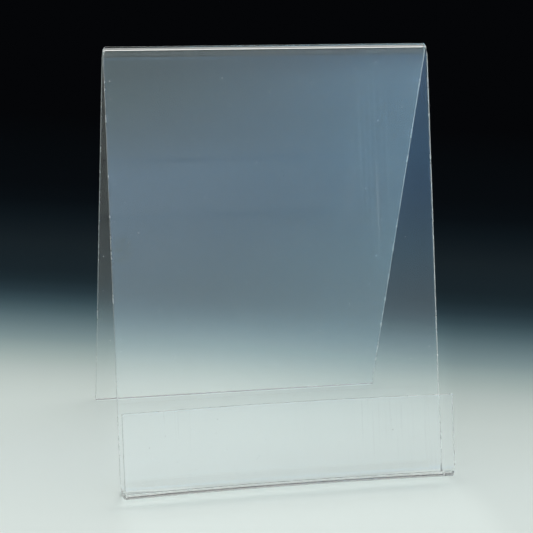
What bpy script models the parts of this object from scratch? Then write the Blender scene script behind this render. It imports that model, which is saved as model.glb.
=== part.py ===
"""Countertop display easel, heat-bent from one sheet of clear acrylic.

The sheet is folded four times about lines that run across its whole width:

    rear leg - top fold - front panel - rear bottom bend - shelf - front bottom bend - front lip

The front panel leans back and carries a sign or a book, whose lower edge stands on the shelf behind the lip. The rear
leg is the same sheet folded back over the top. The easel touches the table along two lines: the underside of the rear
bottom bend and the inner edge of the leg's foot.

Each flat and each bend of the sheet is modelled as its own solid, with a hairline gap at the line where the flat ends
and the bend begins, so every flat is an exact plate and every bend is an exact part of a ring.

Frame: metres, +Z up, the table at z = 0. The panel faces -Y, and the origin is at the middle of the footprint.
"""

import math

import bmesh
import bpy
from mathutils import Matrix, Vector

for old in list(bpy.data.objects):
    bpy.data.objects.remove(old, do_unlink=True)

# ---- driving dimensions (metres, degrees) ----
SHEET_WIDTH = 0.2159  # 8.5 in, the width of a letter-size page
SHEET_THICKNESS = 0.0030
BEND_INNER_RADIUS = 0.0010  # tight strip-heater bends
PANEL_FLAT = 0.2794  # 11 in of flat panel between the two bends
SHELF_FLAT = 0.0233  # gives a pocket 1 in deep between panel and lip
LIP_FLAT = 0.0500  # the lip stands 2 in above the shelf
PANEL_LEAN = 14.4  # front panel, back from the vertical
LEG_LEAN = 19.6  # rear leg, forward from the vertical
SHELF_RISE = 17.2  # shelf, rising towards the front
LIP_LEAN = 15.1  # front lip, back from the vertical

EDGE_ROUND = 0.00030  # polished cut edges
EDGE_STEPS = 3  # segments in each rounded edge
SEAM_GAP = 0.00030  # hairline between a flat and the next bend
DEGREES_PER_STEP = 6.0  # facets of the bends

OUTER_RADIUS = BEND_INNER_RADIUS + SHEET_THICKNESS
MID_RADIUS = BEND_INNER_RADIUS + SHEET_THICKNESS / 2


# ---- side profile, in the (y, z) plane, before the origin is moved to the middle of the footprint ----
def direction(lean_deg, sign=1):
    """Unit vector pointing up, leaning towards +Y by lean_deg for sign 1 and towards -Y for sign -1."""
    a = math.radians(lean_deg)
    return Vector((0.0, sign * math.sin(a), math.cos(a)))


def turned(v, quarter):
    """v turned by 90 degrees in the (y, z) plane: quarter 1 takes +Y to +Z."""
    return Vector((0.0, -quarter * v.z, quarter * v.y))


panel_up = direction(PANEL_LEAN)
panel_front = Vector((0.0, -panel_up.z, panel_up.y))  # out of the panel's front face
leg_up = direction(LEG_LEAN, -1)
leg_back = Vector((0.0, leg_up.z, -leg_up.y))  # out of the leg's rear face
rise = math.radians(SHELF_RISE)
shelf_forward = Vector((0.0, -math.cos(rise), math.sin(rise)))
shelf_up = Vector((0.0, math.sin(rise), math.cos(rise)))
lip_up = direction(LIP_LEAN)
lip_front = Vector((0.0, -lip_up.z, lip_up.y))

rear_centre = Vector((0.0, 0.0, OUTER_RADIUS))  # the bend rests on the table
panel_foot = rear_centre - MID_RADIUS * panel_front
panel_head = panel_foot + PANEL_FLAT * panel_up
top_centre = panel_head - MID_RADIUS * panel_front
leg_head = top_centre + MID_RADIUS * leg_back
leg_flat = (top_centre.z + BEND_INNER_RADIUS * leg_back.z) / leg_up.z  # down to the table
leg_foot = leg_head - leg_flat * leg_up
shelf_rear = rear_centre - MID_RADIUS * shelf_up
shelf_front = shelf_rear + SHELF_FLAT * shelf_forward
front_centre = rear_centre + SHELF_FLAT * shelf_forward
lip_foot = front_centre + MID_RADIUS * lip_front
lip_top = lip_foot + LIP_FLAT * lip_up

front_most = front_centre.y - OUTER_RADIUS
rear_most = leg_foot.y + SHEET_THICKNESS / 2 * leg_back.y
TO_ORIGIN = Vector((0.0, -(front_most + rear_most) / 2, 0.0))

# ---- collection and material ----
easel = bpy.data.collections.new("display_easel")
bpy.context.scene.collection.children.link(easel)


def clear_acrylic(name, tint):
    """Clear cast acrylic: colourless, glossy, refracting."""
    m = bpy.data.materials.new(name)
    m.use_nodes = True
    p = next(n for n in m.node_tree.nodes if n.type == "BSDF_PRINCIPLED")
    p.inputs["Base Color"].default_value = (*tint, 1.0)
    p.inputs["Roughness"].default_value = 0.04
    p.inputs["Metallic"].default_value = 0.0
    p.inputs["IOR"].default_value = 1.49
    p.inputs["Transmission Weight"].default_value = 0.9
    m.diffuse_color = (*tint, 0.35)
    return m


# ---- the sheet's cross-section and the two ways it runs ----
def section_points(width, thickness, radius, steps):
    """Outline of the sheet cut across its length: (x, through the thickness), a rectangle with rounded corners."""
    points = []
    for cx, cy, start in (
        (width / 2 - radius, thickness / 2 - radius, 0.0),
        (-width / 2 + radius, thickness / 2 - radius, 90.0),
        (-width / 2 + radius, -thickness / 2 + radius, 180.0),
        (width / 2 - radius, -thickness / 2 + radius, 270.0),
    ):
        for i in range(steps + 1):
            a = math.radians(start + 90.0 * i / steps)
            points.append((cx + radius * math.cos(a), cy + radius * math.sin(a)))
    return points


def section_face(bm, at, normal):
    """The cross-section as one face at a point of the sheet's mid-line, with the thickness along normal."""
    outline = section_points(SHEET_WIDTH, SHEET_THICKNESS, EDGE_ROUND, EDGE_STEPS)
    return bm.faces.new([bm.verts.new(at + Vector((x, 0, 0)) + n * normal) for x, n in outline])


def to_object(name, bm, origin, tint):
    """Put the finished mesh in the collection, with the object's own origin on the sheet."""
    bmesh.ops.recalc_face_normals(bm, faces=bm.faces)
    bmesh.ops.translate(bm, verts=bm.verts, vec=-origin)
    mesh = bpy.data.meshes.new(name)
    bm.to_mesh(mesh)
    bm.free()
    mesh.materials.append(clear_acrylic(name + "_acrylic", tint))
    mesh.shade_smooth()
    mesh.set_sharp_from_angle(angle=math.radians(40))
    ob = bpy.data.objects.new(name, mesh)
    ob.location = origin + TO_ORIGIN
    easel.objects.link(ob)
    return ob


def flat(name, start, along, length, normal, free_end, tint):
    """A plate from start, running along for length. free_end rounds the far end, which is a cut edge of the sheet."""
    a = start + SEAM_GAP * along
    run = length - SEAM_GAP * (1 if free_end else 2)
    bm = bmesh.new()
    near = section_face(bm, a, normal)
    swept = bmesh.ops.extrude_face_region(bm, geom=[near])
    far_verts = [g for g in swept["geom"] if isinstance(g, bmesh.types.BMVert)]
    bmesh.ops.translate(bm, verts=far_verts, vec=run * along)
    if free_end:
        far = set(far_verts)
        # the two long edges of the far end, one on each face of the sheet
        long_edges = [
            e for e in bm.edges if e.verts[0] in far and e.verts[1] in far and e.calc_length() > SHEET_WIDTH / 2
        ]
        bmesh.ops.bevel(
            bm, geom=long_edges, offset=EDGE_ROUND, offset_type="OFFSET", segments=EDGE_STEPS, profile=0.5,
            affect="EDGES", clamp_overlap=True,
        )
    return to_object(name, bm, start, tint)


def bend(name, centre, from_normal, to_normal, tint):
    """Part of a ring about a line across the sheet, from one outward normal to the next, about centre."""
    turn = math.atan2(
        from_normal.y * to_normal.z - from_normal.z * to_normal.y, from_normal.y * to_normal.y + from_normal.z * to_normal.z
    )
    bm = bmesh.new()
    start = section_face(bm, centre + MID_RADIUS * from_normal, from_normal)
    bmesh.ops.spin(
        bm, geom=[start], cent=centre, axis=(1, 0, 0), angle=turn, use_merge=False,
        steps=max(4, round(abs(math.degrees(turn)) / DEGREES_PER_STEP)),
    )
    return to_object(name, bm, centre, tint)


CLEAR = (0.94, 0.97, 0.97)

flat("front_panel", panel_foot, panel_up, PANEL_FLAT, panel_front, False, CLEAR)
bend("top_fold", top_centre, panel_front, leg_back, CLEAR)
flat("rear_leg", leg_head, -leg_up, leg_flat, leg_back, True, CLEAR)
bend("rear_bottom_bend", rear_centre, -panel_front, -shelf_up, CLEAR)
flat("shelf", shelf_rear, shelf_forward, SHELF_FLAT, -shelf_up, False, CLEAR)
bend("front_bottom_bend", front_centre, -shelf_up, lip_front, CLEAR)
flat("front_lip", lip_foot, lip_up, LIP_FLAT, lip_front, True, CLEAR)
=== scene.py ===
import math

import bmesh
import bpy
import numpy as np
from mathutils import Matrix, Vector


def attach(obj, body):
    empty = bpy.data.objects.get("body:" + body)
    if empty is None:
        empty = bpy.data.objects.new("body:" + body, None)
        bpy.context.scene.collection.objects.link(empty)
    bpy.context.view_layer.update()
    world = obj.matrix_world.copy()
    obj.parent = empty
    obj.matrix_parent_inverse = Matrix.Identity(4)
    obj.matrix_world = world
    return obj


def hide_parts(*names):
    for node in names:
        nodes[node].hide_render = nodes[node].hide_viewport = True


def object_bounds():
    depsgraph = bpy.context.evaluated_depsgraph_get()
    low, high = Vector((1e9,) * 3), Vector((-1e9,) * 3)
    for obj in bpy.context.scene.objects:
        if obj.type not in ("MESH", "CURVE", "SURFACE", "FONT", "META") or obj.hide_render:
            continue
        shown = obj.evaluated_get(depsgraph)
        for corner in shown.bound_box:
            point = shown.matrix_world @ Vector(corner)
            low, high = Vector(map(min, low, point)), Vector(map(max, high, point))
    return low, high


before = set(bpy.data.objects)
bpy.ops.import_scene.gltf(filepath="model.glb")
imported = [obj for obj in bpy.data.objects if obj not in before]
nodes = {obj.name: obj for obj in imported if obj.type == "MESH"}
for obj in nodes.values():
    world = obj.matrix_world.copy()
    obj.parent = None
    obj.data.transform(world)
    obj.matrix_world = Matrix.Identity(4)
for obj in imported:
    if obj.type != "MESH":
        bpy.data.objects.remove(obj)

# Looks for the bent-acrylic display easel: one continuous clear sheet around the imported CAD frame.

CAD_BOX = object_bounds()
scene = bpy.context.scene

# =====================================================================================================================
# 1. The sheet's path, read back from the CAD solids
# =====================================================================================================================
SEAM = 0.0003  # the CAD's hairline between a flat and the next bend


def yz(v):
    return np.array([v[1], v[2]], float)


def cad_points(name):
    return np.array([tuple(v.co) for v in nodes[name].data.vertices], float)


def read_flat(name, towards):
    """(start, end, direction, thickness) of a flat's mid-line in the (y, z) plane, walking towards the given direction."""
    p = cad_points(name)[:, 1:]
    c = (p.max(0) + p.min(0)) / 2
    _, _, axes = np.linalg.svd(p - p.mean(0), full_matrices=False)
    along = axes[0] if axes[0] @ np.array(towards) > 0 else -axes[0]
    across = np.array([-along[1], along[0]])
    a, n = p @ along, p @ across
    mid = (n.max() + n.min()) / 2
    start = along * a.min() + across * mid
    end = along * a.max() + across * mid
    return start, end, along, n.max() - n.min()


WIDTH = float(np.ptp(cad_points("front_panel")[:, 0]))
leg0, leg1, leg_dir, T1 = read_flat("rear_leg", (-0.3, 1.0))  # foot to head
pan0, pan1, pan_dir, T2 = read_flat("front_panel", (-0.2, -1.0))  # head to foot
she0, she1, she_dir, T3 = read_flat("shelf", (-1.0, 0.3))  # rear to front
lip0, lip1, lip_dir, T4 = read_flat("front_lip", (0.2, 1.0))  # foot to top
THICK = float(np.median([T1, T2, T3, T4]))

# the flats meet their bends one seam further on
leg1 = leg1 + SEAM * leg_dir
pan0, pan1 = pan0 - SEAM * pan_dir, pan1 + SEAM * pan_dir
she0, she1 = she0 - SEAM * she_dir, she1 + SEAM * she_dir
lip0 = lip0 - SEAM * lip_dir


def left_of(d):
    return np.array([-d[1], d[0]])


def arc(p0, d0, p1, d1):
    """Centre, mid radius and signed turn of the bend that runs from p0 along d0 to p1 along d1."""
    turn = math.atan2(d0[0] * d1[1] - d0[1] * d1[0], d0 @ d1)
    radius = np.linalg.norm(p1 - p0) / (2 * abs(math.sin(turn / 2)))
    centre = p0 + math.copysign(radius, turn) * left_of(d0)
    return centre, radius, turn


# =====================================================================================================================
# 2. Stations along the sheet
# =====================================================================================================================
stations = []  # (y, z, dy, dz, region)
LEG, TOP, PANEL, REAR, SHELF, FRONT, LIP = range(7)


def eased(n, a=0.0, b=1.0):
    """n + 1 values from a to b, closer together near both ends."""
    t = np.linspace(0, 1, n + 1)
    return a + (b - a) * (t - np.sin(2 * math.pi * t) / (2 * math.pi) * 0.72)


def add_flat(p0, p1, d, n, region):
    for t in eased(n):
        q = p0 + (p1 - p0) * t
        stations.append([q[0], q[1], d[0], d[1], region])


def add_bend(p0, d0, p1, d1, n, region):
    centre, radius, turn = arc(p0, d0, p1, d1)
    for i in range(1, n):
        a = turn * i / n
        c, s = math.cos(a), math.sin(a)
        d = np.array([d0[0] * c - d0[1] * s, d0[0] * s + d0[1] * c])
        q = centre - math.copysign(radius, turn) * left_of(d)
        stations.append([q[0], q[1], d[0], d[1], region])
    return centre, radius, turn


add_flat(leg0, leg1, leg_dir, 46, LEG)
top_centre, R_MID, top_turn = add_bend(leg1, leg_dir, pan0, pan_dir, 40, TOP)
add_flat(pan0, pan1, pan_dir, 46, PANEL)
rear_centre, _, rear_turn = add_bend(pan1, pan_dir, she0, she_dir, 26, REAR)
add_flat(she0, she1, she_dir, 12, SHELF)
front_centre, _, front_turn = add_bend(she1, she_dir, lip0, lip_dir, 26, FRONT)
add_flat(lip0, lip1, lip_dir, 18, LIP)
st = np.array(stations)
pos, tan, region = st[:, :2], st[:, 2:4], st[:, 4].astype(int)
nor = np.stack([-tan[:, 1], tan[:, 0]], 1)  # left of the path
run = np.concatenate([[0], np.cumsum(np.linalg.norm(np.diff(pos, axis=0), axis=1))])
N = len(st)


def bend_weight(reg, reach=0.0045):
    """1 inside a bend, easing to 0 over reach metres of the flats beside it."""
    inside = np.where(region == reg)[0]
    lo, hi = run[inside[0]], run[inside[-1]]
    mid = (lo + hi) / 2
    half = (hi - lo) / 2
    d = np.maximum(np.abs(run - mid) - half * 0.55, 0) / (reach + half * 0.45)
    w = np.clip(1 - d, 0, 1)
    return w * w * (3 - 2 * w)


# how far each station takes part in a bend, and on which side of the path that bend's inside is
heat = np.zeros(N)
inner_side = np.zeros(N)
for reg, turn in ((TOP, top_turn), (REAR, rear_turn), (FRONT, front_turn)):
    w = bend_weight(reg)
    heat = np.maximum(heat, w)
    inner_side += math.copysign(1, turn) * w

# =====================================================================================================================
# 3. Materials
# =====================================================================================================================


def principled(name):
    m = bpy.data.materials.new(name)
    m.use_nodes = True
    nt = m.node_tree
    return m, nt, next(n for n in nt.nodes if n.type == "BSDF_PRINCIPLED"), next(
        n for n in nt.nodes if n.type == "OUTPUT_MATERIAL"
    )


def acrylic(name, rough, tint, clear=1.0):
    m, nt, p, out = principled(name)
    p.inputs["Base Color"].default_value = (*tint, 1)
    p.inputs["Roughness"].default_value = rough
    p.inputs["IOR"].default_value = 1.49
    p.inputs["Transmission Weight"].default_value = clear
    return m, nt, p


acrylic_face, ft, fp = acrylic("acrylic_face", 0.02, (0.995, 1.0, 1.0))
acrylic_edge, et, ep = acrylic("acrylic_edge", 0.20, (0.97, 0.985, 0.98), 0.86)

# painted sheen on the leg: a faint bluish sheen, stronger towards its right side and weaker low down, that stands in
# for the reflected light seen in the leg
fc = ft.nodes.new("ShaderNodeTexCoord")
fs = ft.nodes.new("ShaderNodeSeparateXYZ")
ft.links.new(fc.outputs["Object"], fs.inputs[0])


def fmap(value, lo, hi, a=0.0, b=1.0, kind="SMOOTHSTEP"):
    n = ft.nodes.new("ShaderNodeMapRange"); n.interpolation_type = kind
    n.inputs["From Min"].default_value, n.inputs["From Max"].default_value = lo, hi
    n.inputs["To Min"].default_value, n.inputs["To Max"].default_value = a, b
    ft.links.new(value, n.inputs["Value"])
    return n.outputs[0]


def fmath(op, a, b):
    n = ft.nodes.new("ShaderNodeMath"); n.operation = op
    for k, v in ((0, a), (1, b)):
        if isinstance(v, (int, float)):
            n.inputs[k].default_value = v
        else:
            ft.links.new(v, n.inputs[k])
    return n.outputs[0]


def fnoise(tree, coords, scale, turn=(0, 0, 0), detail=1.0, size=1.0):
    """Noise from 0 to 1 on coordinates stretched by scale (cells per metre along each axis)."""
    m = tree.nodes.new("ShaderNodeMapping")
    m.inputs["Rotation"].default_value = [math.radians(a) for a in turn]
    m.inputs["Scale"].default_value = scale
    tree.links.new(coords, m.inputs["Vector"])
    n = tree.nodes.new("ShaderNodeTexNoise")
    n.inputs["Scale"].default_value = size
    n.inputs["Detail"].default_value = detail
    tree.links.new(m.outputs[0], n.inputs["Vector"])
    return n.outputs["Fac"]


X, Y, Z = (fs.outputs[k] for k in "XYZ")
here = fc.outputs["Object"]


def product(*parts):
    out = parts[0]
    for q in parts[1:]:
        out = fmath("MULTIPLY", out, q)
    return out


def blob(cx, cz, rx, rz):
    """1 at a spot of the panel, 0 outside an ellipse round it."""
    dx = fmath("MULTIPLY", fmath("SUBTRACT", X, cx), 1 / rx)
    dz = fmath("MULTIPLY", fmath("SUBTRACT", Z, cz), 1 / rz)
    return fmap(fmath("ADD", fmath("MULTIPLY", dx, dx), fmath("MULTIPLY", dz, dz)), 0.15, 1.0, 1, 0)


on_leg = fmap(Y, 0.001, 0.008)
across = fmap(X, -0.10, 0.11, 0, 1, "LINEAR")
low_on_leg = fmap(Z, 0.012, 0.075, 0.30, 1.0)
cloudy = fmap(fnoise(ft, here, (16, 16, 9), detail=3.0), 0.25, 0.75, 0.86, 1.14)
leg_painted_sheen = product(on_leg, fmath("ADD", fmath("MULTIPLY", fmath("MULTIPLY", across, across), 0.36), 0.003), low_on_leg, cloudy)

# hairline scratches: upright wiping marks in one patch of the panel and a few stray ones everywhere
upright = fmap(fnoise(ft, here, (1300, 2, 9)), 0.62, 0.74)
slanting = fmap(fnoise(ft, here, (1200, 2, 14), (0, 34, 0)), 0.68, 0.78)
counter = fmap(fnoise(ft, here, (1200, 2, 16), (0, -52, 0)), 0.69, 0.79)
worn = fmap(fnoise(ft, here, (11, 11, 11)), 0.46, 0.66)
patch = blob(0.069, 0.200, 0.017, 0.090)
wiped = product(patch, fmath("SUBTRACT", 1.0, on_leg), fmap(fnoise(ft, here, (380, 2, 4)), 0.44, 0.62))
scratch = fmath("MINIMUM", fmath("ADD", fmath("ADD", fmath("MULTIPLY", upright, fmath("ADD", fmath("MULTIPLY", patch, 0.85), fmath("MULTIPLY", worn, 0.12))),
                                              product(slanting, worn, 0.55)), product(counter, worn, 0.55)), 1.0)

# specks of dust
cells = ft.nodes.new("ShaderNodeTexVoronoi")
cells.inputs["Scale"].default_value = 145.0
ft.links.new(here, cells.inputs["Vector"])
which = ft.nodes.new("ShaderNodeSeparateColor")
ft.links.new(cells.outputs["Color"], which.inputs[0])
speck = fmath("MULTIPLY", fmap(cells.outputs["Distance"], 0.038, 0.064, 1, 0), fmap(which.outputs[0], 0.30, 0.95))

# wear along the cut edges: a hazy rim under two millimetres wide, uneven along its length
rim = product(fmap(fmath("ABSOLUTE", X, 0), 0.1062, 0.1079), fmap(fnoise(ft, here, (14, 14, 30), detail=2.0), 0.36, 0.66))
# handling marks
smear = fmap(fnoise(ft, here, (30, 30, 20), (0, 25, 0), detail=3.0), 0.50, 0.80)
stain = product(fmath("SUBTRACT", 1.0, on_leg), blob(-0.1005, 0.152, 0.0075, 0.0110), fmap(fnoise(ft, here, (320, 320, 320), detail=2.0), 0.30, 0.65))

haze = fmath("ADD", fmath("ADD", fmath("ADD", fmath("MULTIPLY", scratch, 0.24), fmath("MULTIPLY", wiped, 0.12)), product(rim, fmap(on_leg, 0.0, 1.0, 0.04, 0.01))),
             fmath("ADD", fmath("MULTIPLY", smear, 0.006), fmath("MULTIPLY", stain, 0.03)))
# sheen weight: the painted sheen on the leg together with the real scratches, wear, smears and dust specks
weight = fmath("MAXIMUM", fmath("MINIMUM", fmath("ADD", leg_painted_sheen, haze), 1.0), fmath("MULTIPLY", speck, 0.9))
ft.links.new(weight, fp.inputs["Sheen Weight"])
fp.inputs["Sheen Roughness"].default_value = 1.0
# sheen tint: bluish for the painted sheen on the leg, whiter on the dust specks and scratches
whiter = ft.nodes.new("ShaderNodeMix"); whiter.data_type = "RGBA"
ft.links.new(fmath("MAXIMUM", speck, scratch), whiter.inputs["Factor"])
whiter.inputs["A"].default_value = (0.55, 0.84, 1.0, 1)
whiter.inputs["B"].default_value = (0.95, 0.98, 1.0, 1)
ft.links.new(whiter.outputs["Result"], fp.inputs["Sheen Tint"])

stained = ft.nodes.new("ShaderNodeMix"); stained.data_type = "RGBA"
ft.links.new(stain, stained.inputs["Factor"])
stained.inputs["A"].default_value = (0.995, 1.0, 1.0, 1)
stained.inputs["B"].default_value = (0.93, 0.88, 0.80, 1)
ft.links.new(stained.outputs["Result"], fp.inputs["Base Color"])

rough = fmath("ADD", fmath("ADD", fmath("MULTIPLY", scratch, 0.16), fmath("MULTIPLY", rim, 0.07)),
              fmath("ADD", fmath("MULTIPLY", smear, 0.025), fmath("ADD", fmath("MULTIPLY", speck, 0.3), fmap(on_leg, 0.0, 1.0, 0.014, 0.060))))
ft.links.new(rough, fp.inputs["Roughness"])

# relief: the scratches, the specks and the faint ripple the bending heat leaves near the folds
near_fold = fmap(Z, 0.2640, 0.2725)
near_front = fmath("MULTIPLY", fmap(Z, 0.030, 0.012, 0, 1), fmap(Y, -0.078, -0.088))
ripple = fmath("MULTIPLY", fnoise(ft, here, (55, 160, 160), detail=2.0), fmath("MAXIMUM", near_fold, near_front))
relief = fmath("ADD", fmath("MULTIPLY", scratch, -0.10), fmath("ADD", fmath("MULTIPLY", speck, 0.30), fmath("MULTIPLY", ripple, 0.8)))
fbump = ft.nodes.new("ShaderNodeBump")
fbump.inputs["Strength"].default_value = 0.25
fbump.inputs["Distance"].default_value = 0.0001
ft.links.new(relief, fbump.inputs["Height"])
ft.links.new(fbump.outputs[0], fp.inputs["Normal"])

# the cut edges: fine marks across the thickness, patchy polish, a slightly dusty ground
ec = et.nodes.new("ShaderNodeTexCoord")
marks = fnoise(et, ec.outputs["Object"], (30, 110, 420), detail=2.0)
polish = fnoise(et, ec.outputs["Object"], (45, 70, 70), detail=2.0)


def emap(value, lo, hi, a, b):
    n = et.nodes.new("ShaderNodeMapRange"); n.interpolation_type = "SMOOTHSTEP"
    n.inputs["From Min"].default_value, n.inputs["From Max"].default_value = lo, hi
    n.inputs["To Min"].default_value, n.inputs["To Max"].default_value = a, b
    et.links.new(value, n.inputs["Value"])
    return n.outputs[0]


edge_rough = et.nodes.new("ShaderNodeMath"); edge_rough.operation = "ADD"
et.links.new(emap(marks, 0.30, 0.70, -0.03, 0.04), edge_rough.inputs[0])
et.links.new(emap(polish, 0.35, 0.65, 0.12, 0.28), edge_rough.inputs[1])
et.links.new(edge_rough.outputs[0], ep.inputs["Roughness"])
shade = et.nodes.new("ShaderNodeMix"); shade.data_type = "RGBA"
et.links.new(emap(polish, 0.30, 0.70, 0.0, 1.0), shade.inputs["Factor"])
shade.inputs["A"].default_value = (0.94, 0.96, 0.955, 1)
shade.inputs["B"].default_value = (0.99, 1.0, 1.0, 1)
# painted shade: the lip's free top end is coloured darker than the rest, so that it renders less bright
eg = et.nodes.new("ShaderNodeNewGeometry")
en = et.nodes.new("ShaderNodeSeparateXYZ")
et.links.new(eg.outputs["True Normal"], en.inputs[0])
side_on = et.nodes.new("ShaderNodeMath"); side_on.operation = "ABSOLUTE"
et.links.new(en.outputs["X"], side_on.inputs[0])
edge_colour_painted_shade = et.nodes.new("ShaderNodeVectorMath"); edge_colour_painted_shade.operation = "SCALE"
et.links.new(shade.outputs["Result"], edge_colour_painted_shade.inputs[0])
ez = et.nodes.new("ShaderNodeSeparateXYZ")
et.links.new(ec.outputs["Object"], ez.inputs[0])
up_there = et.nodes.new("ShaderNodeMath"); up_there.operation = "MAXIMUM"
et.links.new(emap(side_on.outputs[0], 0.2, 0.6, 0.86, 1.0), up_there.inputs[0])
et.links.new(emap(ez.outputs["Z"], 0.015, 0.025, 1.0, 0.0), up_there.inputs[1])
et.links.new(up_there.outputs[0], edge_colour_painted_shade.inputs["Scale"])
et.links.new(edge_colour_painted_shade.outputs[0], ep.inputs["Base Color"])
ebump = et.nodes.new("ShaderNodeBump")
ebump.inputs["Strength"].default_value = 0.03
ebump.inputs["Distance"].default_value = 0.0002
et.links.new(marks, ebump.inputs["Height"])
et.links.new(ebump.outputs[0], ep.inputs["Normal"])

# =====================================================================================================================
# 4. The sheet's mesh: a rounded cross-section carried along the path
# =====================================================================================================================
ROUND = 0.00028  # polished cut edges
COLS = 54


def ring():
    """(u, n) round the section: u in half-widths from the centre, plus an offset in metres; n in metres across."""
    pts = []
    h = THICK / 2
    for t in eased(COLS, -1, 1):  # face on the left of the path, n = +h
        pts.append((t, 0.0, h, 0))
    k = 4
    for i in range(1, k + 1):  # rounded corner
        a = math.pi / 2 * i / (k + 1)
        pts.append((1, ROUND * math.sin(a), h - ROUND * (1 - math.cos(a)), 1))
    for t in np.linspace(1, -1, 5):  # cut edge
        pts.append((1, ROUND, t * (h - ROUND), 1))
    for i in range(k, 0, -1):
        a = math.pi / 2 * i / (k + 1)
        pts.append((1, ROUND * math.sin(a), -h + ROUND * (1 - math.cos(a)), 1))
    for t in eased(COLS, 1, -1):
        pts.append((t, 0.0, -h, 0))
    for i in range(1, k + 1):
        a = math.pi / 2 * i / (k + 1)
        pts.append((-1, -ROUND * math.sin(a), -h + ROUND * (1 - math.cos(a)), 1))
    for t in np.linspace(-1, 1, 5):
        pts.append((-1, -ROUND, t * (h - ROUND), 1))
    for i in range(k, 0, -1):
        a = math.pi / 2 * i / (k + 1)
        pts.append((-1, -ROUND * math.sin(a), h - ROUND * (1 - math.cos(a)), 1))
    return np.array(pts)


section = ring()
M = len(section)

# a heated fold narrows the sheet on its outside, by this much at each side
NECKING = {TOP: 0.0013, REAR: 0.0007, FRONT: 0.0010}
neck_in = 0.00002 * heat
neck_out = np.max([amount * bend_weight(reg) for reg, amount in NECKING.items()], axis=0)
# and stretching leaves it thinner there: how far the inner face moves out
THINNED = {TOP: 0.0010, REAR: 0.0003, FRONT: 0.0003}
thinning = np.zeros(N)
for reg, amount in THINNED.items():
    thinning += amount * bend_weight(reg, 0.0030)
# the front bend and the lip bow a little at mid-span
LIP_BOW_Y, LIP_BOW_Z = 0.0011, 0.00075

rear_end = run[np.where(region == REAR)[0][-1]]
front_start = run[np.where(region == FRONT)[0][0]]
lip_share = np.clip((run - rear_end) / (front_start - rear_end), 0, 1)
lip_share = lip_share * lip_share * (3 - 2 * lip_share)


def place(i, sec, end_shrink=0.0):
    """World positions of one station's ring."""
    u, du, n = sec[:, 0], sec[:, 1], sec[:, 2]
    if inner_side[i]:
        side = np.sign(inner_side[i])
        share = np.clip(side * n / (THICK / 2) * 0.5 + 0.5, 0, 1)  # 0 on the outer face, 1 on the inner face
        n = n - side * share * thinning[i]
    # the part of the thickness that lies on the bend's inside, from -1 outside to 1 inside
    inward = sec[:, 2] / (THICK / 2) * np.sign(inner_side[i]) if inner_side[i] else np.zeros(len(n))
    wide = inward * (neck_out[i] + neck_in[i]) / 2 - (neck_out[i] - neck_in[i]) / 2
    half = WIDTH / 2 - ROUND + wide
    x = u * half + du
    bow = 1 - (2 * x / WIDTH) ** 2
    y = pos[i, 0] + nor[i, 0] * n + LIP_BOW_Y * lip_share[i] * bow
    z = pos[i, 1] + nor[i, 1] * n + LIP_BOW_Z * lip_share[i] * bow
    return np.stack([x, y, z], 1)


verts, faces, mats = [], [], []
rings = []
# rounded free ends: a few shrinking rings before the first and after the last station
K = 4


def end_rings(i, sign):
    out = []
    for k in range(1, K + 1):
        a = math.pi / 2 * k / K
        sec = section.copy()
        inset = ROUND * (1 - math.cos(a))
        # move the outline in by inset and along the path by ROUND sin a
        sec[:, 2] = np.clip(sec[:, 2], -(THICK / 2 - inset), THICK / 2 - inset)
        p = place(i, sec)
        lim = WIDTH / 2 - inset
        p[:, 0] = np.clip(p[:, 0], -lim, lim)
        p[:, 1] += sign * tan[i, 0] * ROUND * math.sin(a)
        p[:, 2] += sign * tan[i, 1] * ROUND * math.sin(a)
        out.append(p)
    return out


# keep the total length: the end rings stand where the flat's last ROUND was
pos[0] += tan[0] * ROUND
pos[-1] -= tan[-1] * ROUND
all_rings = list(reversed(end_rings(0, -1))) + [place(i, section) for i in range(N)] + end_rings(N - 1, 1)
kinds = section[:, 3].astype(int)
for p in all_rings:
    verts.extend(map(tuple, np.clip(p, CAD_BOX[0], CAD_BOX[1])))
count = len(all_rings)
for r in range(count - 1):
    for c in range(M):
        c2 = (c + 1) % M
        a, b = r * M + c, r * M + c2
        faces.append((a, b, b + M, a + M))
        edge = kinds[c] or kinds[c2] or r < K or r >= count - 1 - K
        mats.append(1 if edge else 0)


# the two end caps: strips straight across the thickness, from a point of one face to the one facing it
def cap(first, flip):
    top = [c for c in range(COLS + 1)]
    bottom = [COLS + 1 + 2 * 4 + 5 + (COLS - c) for c in range(COLS + 1)]
    base = first * M
    for c in range(COLS):
        q = [base + top[c], base + top[c + 1], base + bottom[c + 1], base + bottom[c]]
        faces.append(tuple(q if flip else q[::-1]))
        mats.append(1)
    right = list(range(COLS, COLS + 1 + 2 * 4 + 5 + 1))
    left = list(range(2 * (COLS + 1) + 2 * 4 + 5 - 1, 2 * (COLS + 1) + 2 * (2 * 4 + 5))) + [0]
    for strip in (right, left):
        f = tuple(base + s for s in strip)
        faces.append(f[::-1] if flip else f)
        mats.append(1)


cap(0, False)
cap(count - 1, True)

mesh = bpy.data.meshes.new("bent_sheet")
mesh.from_pydata(verts, [], faces)
mesh.polygons.foreach_set("material_index", mats)
mesh.update()

bm = bmesh.new()
bm.from_mesh(mesh)
bmesh.ops.remove_doubles(bm, verts=bm.verts, dist=1e-7)
bmesh.ops.recalc_face_normals(bm, faces=bm.faces)
open_edges = sum(1 for e in bm.edges if not e.is_manifold)
volume = bm.calc_volume()
bm.to_mesh(mesh)
bm.free()
print("SHEET open edges", open_edges, "volume cm3", round(volume * 1e6, 1), "faces", len(mesh.polygons))
sheet = bpy.data.objects.new("bent_sheet", mesh)
for material in (acrylic_face, acrylic_edge):
    mesh.materials.append(material)
scene.collection.objects.link(sheet)
mesh.shade_smooth()
mesh.set_sharp_from_angle(angle=math.radians(38))


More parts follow.
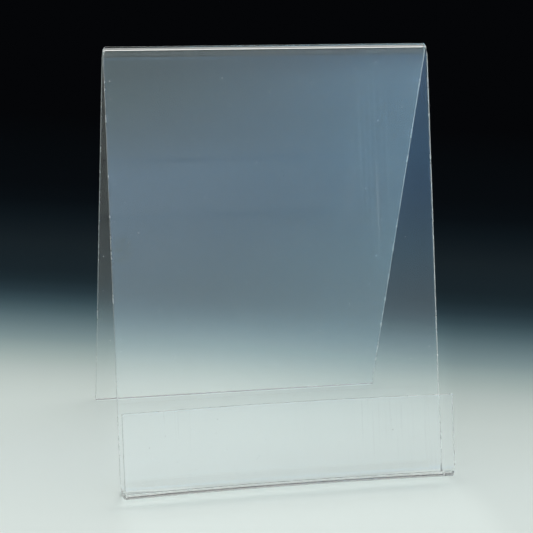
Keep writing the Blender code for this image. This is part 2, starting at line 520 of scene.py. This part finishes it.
def fill_ramp(node, stops, interpolation="LINEAR"):
    """Stops are (position from 0 to 1, colour) in rising order."""
    node.color_ramp.interpolation = interpolation
    e = node.color_ramp.elements
    while len(e) > 1:
        e.remove(e[-1])
    e[0].position = stops[0][0]
    e[0].color = (*stops[0][1], 1)
    for at, c in stops[1:]:
        e.new(at).color = (*c, 1)


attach(sheet, "root")
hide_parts(*sorted(nodes))

# =====================================================================================================================
# 5. Stage: pale floor whose fall to dark is painted into its colour, a dome of soft light, the camera
# =====================================================================================================================
bpy.ops.mesh.primitive_circle_add(vertices=96, radius=9.0, fill_type="NGON", location=(0, 0, -0.0001))
floor = bpy.context.object
floor.name = "studio_floor"
fm = bpy.data.materials.new("paper_painted_falloff")
fm.use_nodes = True
nt = fm.node_tree
nt.nodes.clear()
out = nt.nodes.new("ShaderNodeOutputMaterial")
diff = nt.nodes.new("ShaderNodeBsdfDiffuse")
nt.links.new(diff.outputs[0], out.inputs[0])
geo = nt.nodes.new("ShaderNodeNewGeometry")
dot = nt.nodes.new("ShaderNodeVectorMath"); dot.operation = "DOT_PRODUCT"
g = math.radians(20)
dot.inputs[1].default_value = (math.sin(g), math.cos(g), 0)
nt.links.new(geo.outputs["Position"], dot.inputs[0])
mapr = nt.nodes.new("ShaderNodeMapRange")
mapr.inputs["From Min"].default_value = -0.2
mapr.inputs["From Max"].default_value = 1.4
nt.links.new(dot.outputs["Value"], mapr.inputs["Value"])
ramp = nt.nodes.new("ShaderNodeValToRGB")
LIGHT_LEVEL = (0.845, 0.868, 0.872)  # what a white floor would show under the dome
# painted falloff of the light: the paper's colour runs from pale by the sheet to near black far off, along a direction
# turned 20 degrees from +Y towards +X
stops = [
    (-0.20, (0.662, 0.738, 0.712)), (-0.12, (0.631, 0.706, 0.681)), (-0.05, (0.602, 0.677, 0.656)),
    (0.01, (0.569, 0.643, 0.618)), (0.05, (0.534, 0.606, 0.581)), (0.09, (0.472, 0.543, 0.520)),
    (0.115, (0.415, 0.487, 0.470)), (0.14, (0.343, 0.420, 0.405)), (0.165, (0.270, 0.346, 0.345)),
    (0.19, (0.198, 0.272, 0.280)), (0.215, (0.148, 0.213, 0.228)), (0.24, (0.106, 0.162, 0.180)),
    (0.27, (0.064, 0.106, 0.122)), (0.30, (0.0355, 0.0635, 0.0765)), (0.33, (0.0200, 0.0370, 0.0470)),
    (0.365, (0.0120, 0.0228, 0.0290)), (0.40, (0.0097, 0.0175, 0.0225)), (0.50, (0.0087, 0.0145, 0.0182)),
    (0.56, (0.0063, 0.0107, 0.0140)), (0.62, (0.0042, 0.0076, 0.0103)), (0.70, (0.0026, 0.0043, 0.0060)),
    (0.80, (0.0021, 0.0032, 0.0044)), (1.00, (0.0018, 0.0027, 0.0036)), (1.30, (0.0014, 0.0017, 0.0023)),
]
fill_ramp(ramp, [((v + 0.2) / 1.6, tuple(x / l for x, l in zip(c, LIGHT_LEVEL))) for v, c in stops])
nt.links.new(mapr.outputs[0], ramp.inputs[0])
place_on_floor = nt.nodes.new("ShaderNodeSeparateXYZ")
nt.links.new(geo.outputs["Position"], place_on_floor.inputs[0])


def nsmooth(value, lo, hi, a=0.0, b=1.0):
    n = nt.nodes.new("ShaderNodeMapRange"); n.interpolation_type = "SMOOTHSTEP"
    n.inputs["From Min"].default_value, n.inputs["From Max"].default_value = lo, hi
    n.inputs["To Min"].default_value, n.inputs["To Max"].default_value = a, b
    nt.links.new(value, n.inputs["Value"])
    return n.outputs[0]


def nmath(op, a, b):
    n = nt.nodes.new("ShaderNodeMath"); n.operation = op
    for k, v in ((0, a), (1, b)):
        if isinstance(v, (int, float)):
            n.inputs[k].default_value = v
        else:
            nt.links.new(v, n.inputs[k])
    return n.outputs[0]


# painted light: the paper's colour is made lighter under the sheet, just in front of it and, fanning out, behind it,
# for the light the sheet gathers there
px_, py_ = place_on_floor.outputs["X"], place_on_floor.outputs["Y"]
behind = nmath("MAXIMUM", nmath("ADD", py_, 0.05), 0.0)
from_left = nmath("SUBTRACT", px_, nmath("MULTIPLY", behind, 0.10))
from_right = nmath("SUBTRACT", px_, nmath("MULTIPLY", behind, 0.347))
width_mask = nmath("MULTIPLY", nsmooth(from_left, -0.122, -0.098), nsmooth(from_right, 0.104, 0.128, 1, 0))
front_mask = nmath("MULTIPLY", nsmooth(py_, -0.30, -0.17), nsmooth(py_, -0.10, -0.07, 1, 0))
tent_mask = nmath("MULTIPLY", nsmooth(py_, -0.09, 0.07), nsmooth(py_, 0.20, 0.34, 1, 0))
tent_mask = nmath("MULTIPLY", tent_mask, nmath("MULTIPLY", nsmooth(from_left, -0.12, 0.0, 0.40, 1.0), nsmooth(from_right, 0.02, 0.10, 1.0, 0.75)))
painted_light_pool = nmath("MULTIPLY", width_mask, nmath("ADD", nmath("MULTIPLY", front_mask, 0.065), nmath("MULTIPLY", tent_mask, 0.150)))
paper = nt.nodes.new("ShaderNodeVectorMath"); paper.operation = "SCALE"
nt.links.new(ramp.outputs[0], paper.inputs[0]); nt.links.new(nmath("ADD", painted_light_pool, 1.0), paper.inputs["Scale"])
nt.links.new(paper.outputs[0], diff.inputs[0])
# painted reflection: the dark far part of the paper glows, only in what the sheet mirrors, standing in for the lit
# room round a studio table
away = nt.nodes.new("ShaderNodeVectorMath"); away.operation = "LENGTH"
nt.links.new(geo.outputs["Position"], away.inputs[0])
far = nt.nodes.new("ShaderNodeMapRange"); far.interpolation_type = "SMOOTHSTEP"
far.inputs["From Min"].default_value, far.inputs["From Max"].default_value = 0.28, 0.60
nt.links.new(away.outputs["Value"], far.inputs["Value"])
lp = nt.nodes.new("ShaderNodeLightPath")
once = nt.nodes.new("ShaderNodeMath"); once.operation = "MINIMUM"; once.inputs[1].default_value = 1.0
nt.links.new(lp.outputs["Glossy Depth"], once.inputs[0])
undiffused = nt.nodes.new("ShaderNodeMath"); undiffused.operation = "LESS_THAN"; undiffused.inputs[1].default_value = 0.5
nt.links.new(lp.outputs["Diffuse Depth"], undiffused.inputs[0])
mirrored = nt.nodes.new("ShaderNodeMath"); mirrored.operation = "MULTIPLY"
nt.links.new(once.outputs[0], mirrored.inputs[0]); nt.links.new(undiffused.outputs[0], mirrored.inputs[1])
far_mirrored = nt.nodes.new("ShaderNodeMath"); far_mirrored.operation = "MULTIPLY"
nt.links.new(far.outputs[0], far_mirrored.inputs[0]); nt.links.new(mirrored.outputs[0], far_mirrored.inputs[1])
# the same painted glow lights what the bends at the sheet's foot bring in from there: light that leaves the sheet low
# down, at an angle to the direct view of the same spot of floor
incoming = nt.nodes.new("ShaderNodeSeparateXYZ")
nt.links.new(geo.outputs["Incoming"], incoming.inputs[0])
start_z = nmath("MULTIPLY", incoming.outputs["Z"], lp.outputs["Ray Length"])
eye = nt.nodes.new("ShaderNodeVectorTransform"); eye.vector_type = "POINT"
eye.convert_from, eye.convert_to = "CAMERA", "WORLD"
eye.inputs[0].default_value = (0, 0, 0)
to_eye = nt.nodes.new("ShaderNodeVectorMath"); to_eye.operation = "SUBTRACT"
nt.links.new(eye.outputs[0], to_eye.inputs[0]); nt.links.new(geo.outputs["Position"], to_eye.inputs[1])
unit = nt.nodes.new("ShaderNodeVectorMath"); unit.operation = "NORMALIZE"
nt.links.new(to_eye.outputs[0], unit.inputs[0])
straight = nt.nodes.new("ShaderNodeVectorMath"); straight.operation = "DOT_PRODUCT"
nt.links.new(unit.outputs[0], straight.inputs[0]); nt.links.new(geo.outputs["Incoming"], straight.inputs[1])
bent = nmath("MULTIPLY", nmath("LESS_THAN", straight.outputs["Value"], math.cos(math.radians(6))), nmath("LESS_THAN", start_z, 0.10))
bent = nmath("MULTIPLY", nmath("MULTIPLY", bent, undiffused.outputs[0]), far.outputs[0])
# painted light: a glowing strip on the paper right under the sheet's cut foot, for the light the sheet pipes down to
# it
painted_foot_glow = nmath("MULTIPLY", nmath("MULTIPLY", nsmooth(py_, 0.0972, 0.0980), nsmooth(py_, 0.1008, 0.1014, 1, 0)),
                   nsmooth(nmath("ABSOLUTE", px_, 0), 0.1070, 0.1082, 0.9, 0))
painted_glow = nt.nodes.new("ShaderNodeEmission"); painted_glow.inputs[0].default_value = (0.38, 0.43, 0.42, 1)
nt.links.new(nmath("MAXIMUM", nmath("MAXIMUM", far_mirrored.outputs[0], bent), painted_foot_glow), painted_glow.inputs[1])
both = nt.nodes.new("ShaderNodeAddShader")
nt.links.new(diff.outputs[0], both.inputs[0]); nt.links.new(painted_glow.outputs[0], both.inputs[1])
nt.links.new(both.outputs[0], out.inputs[0])
floor.data.materials.append(fm)

world = bpy.data.worlds.new("studio")
scene.world = world
world.use_nodes = True
wt = world.node_tree
wt.nodes.clear()
wo = wt.nodes.new("ShaderNodeOutputWorld")
bg = wt.nodes.new("ShaderNodeBackground")
wt.links.new(bg.outputs[0], wo.inputs[0])
tc = wt.nodes.new("ShaderNodeTexCoord")
sep = wt.nodes.new("ShaderNodeSeparateXYZ")
wt.links.new(tc.outputs["Generated"], sep.inputs[0])


def smooth(value, lo, hi, a=0.0, b=1.0):
    n = wt.nodes.new("ShaderNodeMapRange")
    n.interpolation_type = "SMOOTHSTEP"
    n.inputs["From Min"].default_value, n.inputs["From Max"].default_value = lo, hi
    n.inputs["To Min"].default_value, n.inputs["To Max"].default_value = a, b
    wt.links.new(value, n.inputs["Value"])
    return n.outputs[0]


def wmath(op, a, b):
    n = wt.nodes.new("ShaderNodeMath"); n.operation = op
    for k, v in ((0, a), (1, b)):
        if isinstance(v, (int, float)):
            n.inputs[k].default_value = v
        else:
            wt.links.new(v, n.inputs[k])
    return n.outputs[0]


def tinted(mask, colour):
    n = wt.nodes.new("ShaderNodeVectorMath"); n.operation = "SCALE"
    n.inputs[0].default_value = colour
    wt.links.new(mask, n.inputs["Scale"])
    return n.outputs[0]


def plus(a, b):
    n = wt.nodes.new("ShaderNodeVectorMath"); n.operation = "ADD"
    wt.links.new(a, n.inputs[0]); wt.links.new(b, n.inputs[1])
    return n.outputs[0]


z = sep.outputs["Z"]


def card_ramp(stops):
    """Colour against height (the sine of the elevation) from 0 to 0.5."""
    m = wt.nodes.new("ShaderNodeMath"); m.operation = "MULTIPLY"; m.inputs[1].default_value = 2.0
    wt.links.new(z, m.inputs[0])
    r = wt.nodes.new("ShaderNodeValToRGB")
    fill_ramp(r, [(at * 2.0, c) for at, c in stops])
    wt.links.new(m.outputs[0], r.inputs[0])
    return r.outputs[0]


left_card = card_ramp([(0.02, (0, 0, 0)), (0.06, (0.72, 0.80, 0.82)), (0.14, (0.80, 0.92, 0.95)), (0.18, (0.95, 1.25, 1.45)),
                       (0.218, (1.10, 1.60, 2.00)), (0.264, (1.18, 1.82, 2.45)), (0.287, (1.18, 1.86, 2.55)),
                       (0.309, (0.95, 1.45, 1.85)), (0.335, (0.82, 1.22, 1.40)), (0.385, (0.55, 0.75, 0.85)), (0.46, (0, 0, 0))])
right_card = card_ramp([(0.02, (0, 0, 0)), (0.06, (0.62, 0.70, 0.72)), (0.14, (0.68, 0.80, 0.84)), (0.18, (0.72, 0.92, 1.05)),
                        (0.218, (0.53, 0.90, 1.22)), (0.242, (0.48, 0.86, 1.30)), (0.264, (0.43, 0.82, 1.37)),
                        (0.287, (0.47, 0.95, 1.58)), (0.309, (0.54, 1.04, 1.70)), (0.335, (0.66, 1.17, 1.90)),
                        (0.385, (0.50, 0.75, 1.10)), (0.46, (0, 0, 0))])
x_, y_ = sep.outputs["X"], sep.outputs["Y"]
azimuth = wmath("ARCTAN2", x_, wmath("MULTIPLY", y_, -1.0))  # 0 towards -Y, growing towards +X
card = wt.nodes.new("ShaderNodeMix"); card.data_type = "RGBA"
wt.links.new(smooth(azimuth, math.radians(3), math.radians(22)), card.inputs["Factor"])
wt.links.new(left_card, card.inputs["A"]); wt.links.new(right_card, card.inputs["B"])
card_mask = smooth(wmath("ABSOLUTE", wmath("SUBTRACT", azimuth, math.radians(10)), 0), math.radians(28), math.radians(48), 1, 0)
card_scaled = wt.nodes.new("ShaderNodeVectorMath"); card_scaled.operation = "SCALE"
wt.links.new(card.outputs["Result"], card_scaled.inputs[0]); wt.links.new(card_mask, card_scaled.inputs["Scale"])
front_sector = smooth(wmath("ABSOLUTE", wmath("SUBTRACT", azimuth, math.radians(10)), 0), math.radians(40), math.radians(80), 1, 0)
lifted = wmath("SUBTRACT", z, wmath("MULTIPLY", front_sector, 0.50))
dome_mask = wmath("MULTIPLY", smooth(lifted, 0.16, 0.34), smooth(wmath("MULTIPLY", y_, -1.0), -0.7, 0.7, 0.75, 1.30))
dome = tinted(dome_mask, (1.10, 1.10, 1.085))
# low fill round the sides and back, met only by light the sheet has mirrored
wlp = wt.nodes.new("ShaderNodeLightPath")
mirrored_w = wmath("MULTIPLY", wmath("MINIMUM", wlp.outputs["Glossy Depth"], 1.0), wmath("LESS_THAN", wlp.outputs["Diffuse Depth"], 0.5))
low = wmath("MULTIPLY", wmath("MULTIPLY", smooth(z, -0.05, 0.02), smooth(z, 0.16, 0.34, 1, 0)), smooth(front_sector, 0, 1, 1, 0))
# or bent right out of the camera's own field of view
axis = wt.nodes.new("ShaderNodeVectorTransform"); axis.vector_type = "NORMAL"
axis.convert_from, axis.convert_to = "CAMERA", "WORLD"
axis.inputs[0].default_value = (0, 0, 1)
off_axis = wt.nodes.new("ShaderNodeVectorMath"); off_axis.operation = "DOT_PRODUCT"
wt.links.new(axis.outputs[0], off_axis.inputs[0]); wt.links.new(tc.outputs["Generated"], off_axis.inputs[1])
outside = smooth(off_axis.outputs["Value"], math.cos(math.radians(15)), math.cos(math.radians(13)), 1, 0)
deflected = wmath("MULTIPLY", outside, wmath("MULTIPLY", wmath("SUBTRACT", 1.0, wlp.outputs["Is Camera Ray"]),
                                             wmath("LESS_THAN", wlp.outputs["Diffuse Depth"], 0.5)))
seen_in_sheet = wmath("MAXIMUM", mirrored_w, deflected)
to_right = smooth(x_, 0.15, 0.45, 1.0, 1.35)
fill = tinted(wmath("MULTIPLY", wmath("MULTIPLY", low, seen_in_sheet), to_right), (0.88, 0.89, 0.83))
# the fold gathers the sky behind it into one bright line: soften that
softer = wmath("SUBTRACT", 1.0, wmath("MULTIPLY", wmath("MULTIPLY", mirrored_w, 0.66), wmath("MULTIPLY", smooth(z, 0.16, 0.28), smooth(y_, 0.0, 0.4))))
lit = wt.nodes.new("ShaderNodeVectorMath"); lit.operation = "SCALE"
wt.links.new(plus(plus(dome, card_scaled.outputs[0]), fill), lit.inputs[0]); wt.links.new(softer, lit.inputs["Scale"])
wt.links.new(lit.outputs[0], bg.inputs[0])

cam_data = bpy.data.cameras.new("camera")
cam = bpy.data.objects.new("camera", cam_data)
scene.collection.objects.link(cam)
scene.camera = cam
# the photograph's viewpoint: distances in sheet widths from the panel's lower left corner
panel_front_y = -0.07465
C = np.array([-0.412, -3.9688, 1.8128]) * 0.2159 + np.array([-0.2159 / 2, panel_front_y, 0])
yaw, pitch, roll = (math.radians(a) for a in (12.0125, 15.5173, 0.8141))
f = Vector((math.sin(yaw) * math.cos(pitch), math.cos(yaw) * math.cos(pitch), -math.sin(pitch)))
r = Vector((math.cos(yaw), -math.sin(yaw), 0))
u = r.cross(f)
r2 = math.cos(roll) * r + math.sin(roll) * u
u2 = -math.sin(roll) * r + math.cos(roll) * u
cam.matrix_world = Matrix(((r2.x, u2.x, -f.x, C[0]), (r2.y, u2.y, -f.y, C[1]), (r2.z, u2.z, -f.z, C[2]), (0, 0, 0, 1)))
cam_data.sensor_width = 36.0
cam_data.lens = 1449.4 / 533 * 36.0
cam_data.clip_start = 0.01

scene.cycles.blur_glossy = 0.0  # light that has passed the clear sheet keeps its full strength on the floor
# light caught between the two faces of a bend bounces many times before it gets out
scene.cycles.max_bounces = scene.cycles.glossy_bounces = scene.cycles.transmission_bounces = 28
scene.view_settings.view_transform = "Standard"
scene.view_settings.look = "None"
